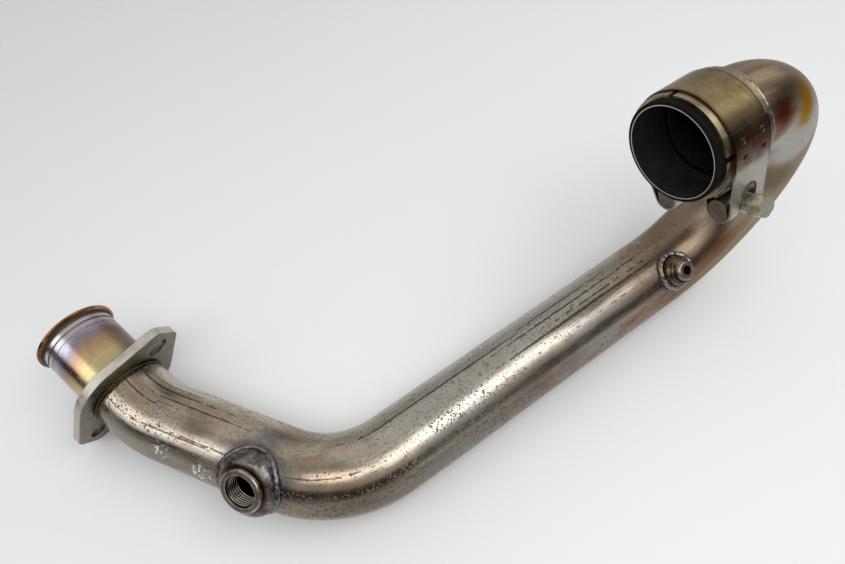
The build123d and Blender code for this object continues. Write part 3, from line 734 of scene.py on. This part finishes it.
def bead_tree():
    """Weld bead along a closed line: a round section that swells and drops with each ripple."""
    t = Tree(
        "weld_bead",
        ("Width", "Float", 0.002), ("Ripple", "Float", 0.0016), ("Depth", "Float", 0.2),
        ("Wander", "Float", 0.0003), ("Seed", "Int", 1), ("Sides", "Int", 14),
        ("Material", "Material", None),
    )
    given = t.given
    line = t.first("MeshToCurve", {"Mesh": given["Geometry"]})
    step = t.maths("DIVIDE", given["Ripple"], 7.0)
    line = t.first("ResampleCurve", {"Curve": line, "Length": step}, mode="LENGTH")
    along = t.node("SplineParameter").outputs["Length"]
    noise = t.node("ShaderNodeTexNoise", {
        "Vector": t.first("InputPosition"), "W": t.times(given["Seed"], 7.31), "Scale": 320.0,
    }, noise_dimensions="4D").outputs
    phase = t.maths("DIVIDE", along, given["Ripple"])
    phase = t.maths("ADD", phase, t.times(noise["Fac"], 1.6))
    wave = t.maths("ABSOLUTE", t.maths("SINE", t.times(phase, math.pi)))
    swell = t.maths("ADD", 1.0, t.times(t.maths("SUBTRACT", wave, 0.6), given["Depth"]))
    swell = t.times(swell, t.maths("ADD", 0.8, t.times(noise["Fac"], 0.4)))
    shift = t.vector("SUBTRACT", {0: noise["Color"], 1: (0.5, 0.5, 0.5)})
    shift = t.vector("SCALE", {0: shift, "Scale": given["Wander"]})
    line = t.first("SetPosition", {"Geometry": line, "Offset": shift})
    ring = t.ring(given["Width"], given["Sides"])
    bead = t.first("CurveToMesh", {"Curve": line, "Profile Curve": ring, "Scale": swell})
    return t.finish(bead, given["Material"])


def thread_tree():
    """Screw thread: a ridge wound round a straight rod or hole along Z."""
    t = Tree(
        "thread",
        ("Radius", "Float", 0.003), ("Pitch", "Float", 0.001), ("Length", "Float", 0.006),
        ("Ridge", "Float", 0.0004), ("Material", "Material", None),
    )
    given = t.given
    line = t.first("CurveSpiral", {
        "Resolution": 48, "Rotations": t.maths("DIVIDE", given["Length"], given["Pitch"]),
        "Start Radius": given["Radius"], "End Radius": given["Radius"], "Height": given["Length"],
    })
    section = {"Curve": line, "Profile Curve": t.ring(given["Ridge"], 8), "Fill Caps": True}
    return t.finish(t.first("CurveToMesh", section), given["Material"])


def closed_line(name, points):
    """Mesh of edges through the points, closed."""
    mesh = bpy.data.meshes.new(name)
    count = len(points)
    edges = [(i, (i + 1) % count) for i in range(count)]
    mesh.from_pydata([tuple(p) for p in points], edges, [])
    return mesh


def spokes(axis, count):
    """Unit vectors square to an axis, spread evenly round it."""
    side = rolled(axis, 0)
    other = axis.cross(side)
    angles = (2 * math.pi * step / count for step in range(count))
    return [side * math.cos(angle) + other * math.sin(angle) for angle in angles]


def saddle_line(foot, axis, radius, proud=0.0, count=180):
    """Points where a round column of that radius meets the tube."""
    points = []
    for arm in spokes(axis, count):
        stand = foot + arm * radius
        low, high = 0.0, 0.04
        for _ in range(26):
            middle = (low + high) / 2
            if from_route(stand + axis * middle) < TUBE_RADIUS + proud:
                low = middle
            else:
                high = middle
        points.append(stand + axis * low)
    return points


def round_line(centre, axis, radius, count=240):
    """Points of a circle about an axis."""
    return [centre + arm * radius for arm in spokes(axis, count)]


def route_tube(name, step, around):
    """The bent tube as one wall, with its place on the straightened tube kept in an attribute."""
    stop = ROUTE_LENGTH - TUBE_STOP
    stations = list(np.linspace(TUBE_START, stop, int((stop - TUBE_START) / step)))
    # rings from the rounded edge at the port along the outside, and back along the bore
    edge = ((0, 1.1), (0.25, 0.45), (1.0, 0))
    rings = [(TUBE_START + past * MM, TUBE_RADIUS - drop * MM) for past, drop in edge]
    rings += [(s, TUBE_RADIUS) for s in stations if s > TUBE_START + 1.5 * MM]
    rings += [(s, TUBE_BORE) for s in stations[::-2]]
    if rings[-1][0] > TUBE_START + 0.1 * MM:
        rings.append((TUBE_START, TUBE_BORE))
    # carry a frame along the route without twist
    frames, normal = {}, rolled(PORT, 0)
    for s in sorted({r[0] for r in rings}):
        _, way = on_route(s)
        normal = (normal - way * normal.dot(way)).normalized()
        frames[s] = normal.copy()
    points, places = [], []
    for s, radius in rings:
        centre, way = on_route(s)
        normal = frames[s]
        other = way.cross(normal)
        for column in range(around):
            angle = 2 * math.pi * column / around
            points.append(centre + (normal * math.cos(angle) + other * math.sin(angle)) * radius)
            places.append((s, math.cos(angle) * radius, math.sin(angle) * radius))
    mesh = mesh_from(name, points, grid_faces(len(rings), around, wrap_rows=True), sharp=40)
    kept = mesh.attributes.new("route", "FLOAT_VECTOR", "POINT")
    kept.data.foreach_set("vector", [c for place in places for c in place])
    outside = mesh.attributes.new("outside", "FLOAT", "POINT")
    shares = [float(radius > TUBE_BORE + 1e-5) for _, radius in rings for _ in range(around)]
    outside.data.foreach_set("value", shares)
    return mesh


def drill(piece, foot, axis, radius, reach, sides=64):
    """Cuts a round hole along an axis through a piece's wall."""
    points = [p for at in (0.0, reach) for p in round_line(foot + axis * at, axis, radius, sides)]
    ends = [tuple(range(sides))[::-1], tuple(range(sides, 2 * sides))]
    cutter = linked("drill", mesh_from("drill", points, grid_faces(2, sides) + ends, smooth=False))
    cut = piece.modifiers.new("drill", "BOOLEAN")
    cut.operation, cut.solver, cut.object = "DIFFERENCE", "EXACT", cutter
    bpy.context.view_layer.update()
    graph = bpy.context.evaluated_depsgraph_get()
    drilled = bpy.data.meshes.new_from_object(piece.evaluated_get(graph))
    piece.modifiers.remove(cut)
    piece.data = drilled
    bpy.data.objects.remove(cutter)


def sensor_boss_mesh(name, columns=192):
    """Turned boss with an internal thread and a foot that follows the tube."""
    face, ring_back, neck_back = 29.2, 27.3, 26.3
    ring, neck, skirt = 12.5, 11.3, 18.0
    pitch, minor, major = 1.5, 8.2, 9.0
    thread_top, thread_step, thread_rows = 28.5, 0.15, 58
    # heights and radii, in millimetres
    outside = [
        (face - 0.1, 9.05), (face, 9.15), (face, 12.1), (face - 0.4, ring), (ring_back, ring),
        (ring_back, neck), (neck_back, neck), (neck_back, 13.4), (26.1, 14.0), (25.8, 14.9),
        (25.3, 15.9), (24.6, 16.9), (23.9, 17.6), (23.3, skirt),
    ]
    arms, points = spokes(SENSOR_AXIS, columns), []

    def lay(heights, radii):
        for arm, height, radius in zip(arms, heights, radii):
            points.append(SENSOR_FOOT + SENSOR_AXIS * height * MM + arm * radius * MM)

    def foot_heights(radius, depth):
        line = saddle_line(*SENSOR, radius * MM, depth * MM, columns)
        return [(p - SENSOR_FOOT).dot(SENSOR_AXIS) / MM for p in line]

    def ridge(height, column):
        phase = (height / pitch + column / columns) % 1.0
        tooth = min(max(abs(phase - 0.5) * 3.2 - 0.3, 0), 1)
        fade = min(max((28.4 - height) / 0.8, 0), 1)
        return major + (minor - major) * tooth * fade

    for row in reversed(range(thread_rows)):
        height = thread_top - thread_step * row
        lay([height] * columns, [ridge(height, column) for column in range(columns)])
    for height, radius in outside:
        lay([height] * columns, [radius] * columns)
    lay(foot_heights(skirt, -0.7), [skirt] * columns)
    lay(foot_heights(minor, -1.3), [minor + 0.3] * columns)
    return mesh_from(name, points, grid_faces(len(points) // columns, columns, True), sharp=35)


# Sizes and colours that a user would change


class HeaderSettings(bpy.types.PropertyGroup):
    tube_step: FloatProperty(
        name="Ring spacing", description="Distance between the rings of the tube's mesh",
        default=0.0022, min=0.0008, unit="LENGTH",
    )
    tube_sides: IntProperty(name="Sides", description="Faces round the tube", default=120, min=24)
    tube_tan: FloatVectorProperty(
        name="Tan oxide", description="Palest colour of the tube", subtype="COLOR", size=3,
        default=(0.48, 0.422, 0.338),
    )
    tube_brown: FloatVectorProperty(
        name="Brown oxide", description="Middle colour of the tube", subtype="COLOR", size=3,
        default=(0.305, 0.248, 0.183),
    )
    tube_dark: FloatVectorProperty(
        name="Dark oxide", description="Darkest colour of the tube", subtype="COLOR", size=3,
        default=(0.165, 0.125, 0.09),
    )


class WeldSettings(bpy.types.PropertyGroup):
    ripple: FloatProperty(
        name="Ripple length", description="Length of one ripple of the outlet weld",
        default=0.0038, min=0.0005, unit="LENGTH",
    )
    depth: FloatProperty(
        name="Ripple depth", description="Share of the bead that each ripple takes", default=0.05,
    )
    seed: IntProperty(name="Seed", description="Seed of the beads' unevenness", default=3)


class BossSettings(bpy.types.PropertyGroup):
    sides: IntProperty(name="Sides", description="Faces round the sensor boss", default=192, min=48)


class StudioSettings(bpy.types.PropertyGroup):
    floor: FloatVectorProperty(
        name="Floor", description="Colour of the floor and backdrop", subtype="COLOR", size=3,
        default=(0.81, 0.81, 0.8),
    )
    key: FloatProperty(
        name="Key light", description="Power of the overhead light", default=4.0, unit="POWER",
    )
    fill: FloatProperty(
        name="Fill light", description="Power of the side lights", default=1.0, unit="POWER",
    )
    sky: FloatProperty(name="Sky", description="Strength of the light from all round", default=0.72)


# Operators


class HEADER_OT_tube(bpy.types.Operator):
    """Sweeps the header tube along its route and drills it for the two bosses"""

    bl_idname = "header.tube"
    bl_label = "Header tube"

    def execute(self, context):
        settings = context.scene.header
        finish = tube_steel("tube_steel", settings)
        name = "header_tube_skin"
        mesh = route_tube(name, settings.tube_step, settings.tube_sides)
        stretches = [n for n in NODES if n.startswith("header_tube_")]
        tube = add_object(name, mesh, finish, replaces=stretches)
        drill(tube, *SENSOR, SENSOR_HOLE * MM, DRILL_REACH * MM)
        drill(tube, *TEST, TEST_HOLE * MM, DRILL_REACH * MM)
        mesh = tube.data
        mesh.materials.clear()
        mesh.materials.append(finish)
        mesh.materials.append(soot_steel("soot_steel"))
        inside = mesh.attributes["outside"].data
        for face in mesh.polygons:
            face.material_index = int(all(inside[v].value < 0.5 for v in face.vertices))
        return {"FINISHED"}


class HEADER_OT_welds(bpy.types.Operator):
    """Lays the four weld beads, ripple by ripple"""

    bl_idname = "header.welds"
    bl_label = "Weld beads"

    def execute(self, context):
        settings = context.scene.header_welds
        tree = bead_tree()
        spigot_place, spigot_radius = SPIGOT_SEAM
        outlet_place, outlet_radius = OUTLET_SEAM
        # bead and node; steel with the colours of its crests, hollows and heat tint;
        # width, ripple, depth and wander, with lengths in millimetres; line
        beads = (
            # the spigot's weld is coloured near black: painted shadow between the flange and the
            # tube
            ("spigot_weld_bead", "spigot_weld",
             ("weld_painted_shadow", (0.085, 0.062, 0.045), (0.03, 0.022, 0.016), (0.06, 0.032, 0.018)),
             (1.0, 1.5, 0.2, 0.1),
             round_line(PORT * spigot_place * MM, PORT, spigot_radius * MM)),
            ("sensor_weld_bead", "sensor_boss_weld",
             ("weld_grey", (0.24, 0.225, 0.22), (0.055, 0.047, 0.045), (0.13, 0.11, 0.1)),
             (1.7, 4.6, 0.14, 0.9), saddle_line(*SENSOR, SENSOR_SEAM * MM, 0.5 * MM)),
            ("test_weld_bead", "test_boss_weld",
             ("weld_mixed", (0.44, 0.41, 0.36), (0.075, 0.058, 0.046), (0.17, 0.12, 0.08)),
             (1.75, 5.2, 0.4, 0.9), saddle_line(*TEST, TEST_SEAM * MM, 0.6 * MM)),
            ("outlet_weld_bead", "outlet_weld",
             ("weld_pale", (0.34, 0.3, 0.26), (0.12, 0.095, 0.078), (0.15, 0.085, 0.06)),
             (1.7, settings.ripple / MM, settings.depth, 0.06),
             round_line(OUTLET_MOUTH + LONG * outlet_place * MM, LONG, outlet_radius * MM)),
        )
        for number, (name, node, look, sizes, line) in enumerate(beads):
            steel = weld_steel(*look)
            width, ripple, depth, wander = sizes
            mesh = bake_tree(name, tree, closed_line(name + "_line", line), {
                "Width": width * MM, "Ripple": ripple * MM, "Depth": depth,
                "Wander": wander * MM, "Seed": settings.seed + number, "Material": steel,
            })
            add_object(name, mesh, steel, replaces=[node])
        return {"FINISHED"}


class HEADER_OT_sensor_boss(bpy.types.Operator):
    """Turns the sensor boss and cuts its thread"""

    bl_idname = "header.sensor_boss"
    bl_label = "Sensor boss"

    def execute(self, context):
        name, steel = "sensor_boss_turned", boss_steel("boss_steel")
        mesh = sensor_boss_mesh(name, context.scene.header_boss.sides)
        add_object(name, mesh, steel, replaces=["sensor_boss"])
        return {"FINISHED"}


class HEADER_OT_bolt_thread(bpy.types.Operator):
    """Winds the thread round the clamp bolt's tail"""

    bl_idname = "header.bolt_thread"
    bl_label = "Bolt thread"

    def execute(self, context):
        tones = (0.5, 0.49, 0.38), (0.2, 0.18, 0.11), (0.24, 0.12, 0.05)
        steel = worn_steel("zinc_thread", *tones, 0.45)
        sizes = {name: size * MM for name, size in THREAD.items()}
        mesh = bake_tree("clamp_bolt_thread", thread_tree(), None, {**sizes, "Material": steel})
        centre = CLAMP_CENTRE + GAP * THREAD_OUT * MM - BOLT * THREAD_BACK * MM
        turn = UP.rotation_difference(BOLT).to_matrix().to_4x4()
        mesh.transform(Matrix.Translation(centre) @ turn)
        add_object("clamp_bolt_thread", mesh, steel)
        return {"FINISHED"}


class HEADER_OT_finishes(bpy.types.Operator):
    """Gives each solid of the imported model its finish"""

    bl_idname = "header.finishes"
    bl_label = "Finishes"

    def execute(self, context):
        # light, dark and stain colours, the stain's share, and roughness or a hollow
        zinc, bar, boss, washer, plug, bridge = (worn_steel(*look) for look in (
            ("zinc_steel", (0.58, 0.58, 0.47), (0.26, 0.24, 0.16), (0.26, 0.15, 0.07), 0.42,
             (0.28, 0.5)),
            ("barrel_steel", (0.21, 0.19, 0.145), (0.065, 0.052, 0.036), (0.13, 0.065, 0.03), 0.45,
             (0.3, 0.5)),
            ("test_boss_steel", (0.3, 0.25, 0.2), (0.09, 0.066, 0.05), (0.1, 0.05, 0.03), 0.5),
            ("washer_steel", (0.36, 0.3, 0.24), (0.12, 0.09, 0.065), (0.2, 0.11, 0.06), 0.45),
            ("plug_steel", (0.4, 0.33, 0.27), (0.14, 0.1, 0.075), (0.14, 0.07, 0.045), 0.45,
             (0.25, 0.5), (*TEST, 2.9)),
            ("bridge_steel", (0.4, 0.35, 0.25), (0.15, 0.12, 0.08), (0.16, 0.06, 0.03), 0.5),
        ))
        finishes = {
            "port_spigot": spigot_steel("spigot_steel"),
            "port_flange": flange_steel("flange_steel"),
            "test_boss": boss,
            "test_washer": washer,
            "test_plug": plug,
            "gasket_lining": lining_steel("lining_steel"),
            "outlet_gasket": graphite("graphite"),
            "outlet_sleeve": sleeve_steel("sleeve_steel"),
            "clamp_band": band_steel("band_steel"),
            "clamp_bridge": bridge,
            "barrel_nut": bar,
            "barrel_seat": bar,
            "bolt_spacer": zinc,
            "clamp_bolt": zinc,
        }
        for node, finish in finishes.items():
            solid = bpy.data.objects[node]
            if not solid.material_slots:
                solid.data.materials.append(finish)
            for place in solid.material_slots:
                place.material = finish
        return {"FINISHED"}


def area_light(name, place, target, width, height, power, colour):
    """Soft rectangular light, aimed at a point."""
    lamp = bpy.data.lights.new(name, "AREA")
    lamp.shape, lamp.size, lamp.size_y = "RECTANGLE", width, height
    lamp.energy, lamp.color = power, colour
    made = linked(name, lamp)
    made.location = place
    made.rotation_euler = (target - place).to_track_quat("-Z", "Y").to_euler()


class HEADER_OT_studio(bpy.types.Operator):
    """Sets up the floor, the backdrop, the lights and the camera"""

    bl_idname = "header.studio"
    bl_label = "Studio"

    def execute(self, context):
        settings, scene = context.scene.header_studio, context.scene
        paint = floor_paint("floor_paint", tuple(settings.floor))
        # round floor that rises through a smooth cove into a wall
        cove, wall, sides = 0.15, 0.8, 96
        profile = [(0.02, 0), (0.3, 0), (0.7, 0), (1.1, 0)]
        for angle in np.linspace(0, math.pi / 2, 12):
            out = STUDIO_RADIUS - cove + cove * math.sin(angle)
            profile.append((out, cove - cove * math.cos(angle)))
        profile.append((STUDIO_RADIUS, wall))
        turns = [2 * math.pi * step / sides for step in range(sides)]
        points = [
            STUDIO_CENTRE + Vector((math.cos(angle) * out, math.sin(angle) * out, height))
            for out, height in profile for angle in turns
        ]
        faces = grid_faces(len(profile), sides) + [tuple(range(sides))]
        floor = linked("studio_floor", mesh_from("studio_floor", points, faces))
        floor.data.materials.append(paint)

        world = scene.world or bpy.data.worlds.new("studio")
        scene.world = world
        world.use_nodes = True
        back = world.node_tree.nodes["Background"]
        back.inputs["Color"].default_value = (0.95, 0.97, 1.0, 1)
        back.inputs["Strength"].default_value = settings.sky

        middle = Vector((0.18, -0.12, 0.03))
        white, key, fill = (1, 1, 1), settings.key, settings.fill
        for name, offset, width, height, power, colour in (
            ("key_light", (0.26, -0.46, 0.82), 1.0, 0.4, key, white),
            ("front_light", (-0.42, -0.36, 0.8), 0.55, 0.36, key * 0.42, white),
            ("window_light", (-0.85, 0.15, 0.55), 0.3, 0.6, fill, (0.93, 0.96, 1)),
            ("side_light", (0.95, 0.05, 0.45), 0.3, 0.5, fill * 0.6, (1, 0.98, 0.95)),
        ):
            area_light(name, middle + Vector(offset), middle, width, height, power, colour)

        camera = bpy.data.cameras.new("camera")
        camera.sensor_width, camera.lens = 36.0, 26.334
        camera.clip_start = 0.01
        seen = linked("camera", camera)
        # directions and place that put the outlines where the photograph has them
        right = (0.81555, -0.57069, -0.09588)
        down = (-0.50811, -0.62689, -0.59062)
        forward = (0.27695, 0.5304, -0.80123)
        place = (0.085031, -0.301682, 0.303024)
        rows = [(right[i], -down[i], -forward[i], place[i]) for i in range(3)]
        seen.matrix_world = Matrix(rows + [(0, 0, 0, 1)])
        scene.camera = seen
        scene.view_settings.view_transform = "Standard"
        return {"FINISHED"}


class HEADER_PT_panel(bpy.types.Panel):
    """Lists the pieces of the header pipe and their settings"""

    bl_idname = "HEADER_PT_panel"
    bl_label = "Header Pipe"
    bl_space_type = "VIEW_3D"
    bl_region_type = "UI"
    bl_category = "Header Pipe"

    def draw(self, context):
        layout, scene = self.layout, context.scene
        for maker in MAKERS:
            layout.operator(maker.bl_idname, text=maker.bl_label)
        for group in GROUPS:
            for name in GROUPS[group].__annotations__:
                layout.prop(getattr(scene, group), name)


MAKERS = (
    HEADER_OT_tube,
    HEADER_OT_welds,
    HEADER_OT_sensor_boss,
    HEADER_OT_bolt_thread,
    HEADER_OT_finishes,
    HEADER_OT_studio,
)
GROUPS = {
    "header": HeaderSettings,
    "header_welds": WeldSettings,
    "header_boss": BossSettings,
    "header_studio": StudioSettings,
}


def register():
    for item in (*GROUPS.values(), *MAKERS, HEADER_PT_panel):
        bpy.utils.register_class(item)
    for name, group in GROUPS.items():
        setattr(bpy.types.Scene, name, PointerProperty(type=group))


def unregister():
    for name in GROUPS:
        delattr(bpy.types.Scene, name)
    for item in (HEADER_PT_panel, *MAKERS[::-1], *GROUPS.values()):
        bpy.utils.unregister_class(item)


def main():
    register()
    for maker in MAKERS:
        family, name = maker.bl_idname.split(".")
        getattr(getattr(bpy.ops, family), name)()
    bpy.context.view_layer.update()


if __name__ == "__main__":
    main()
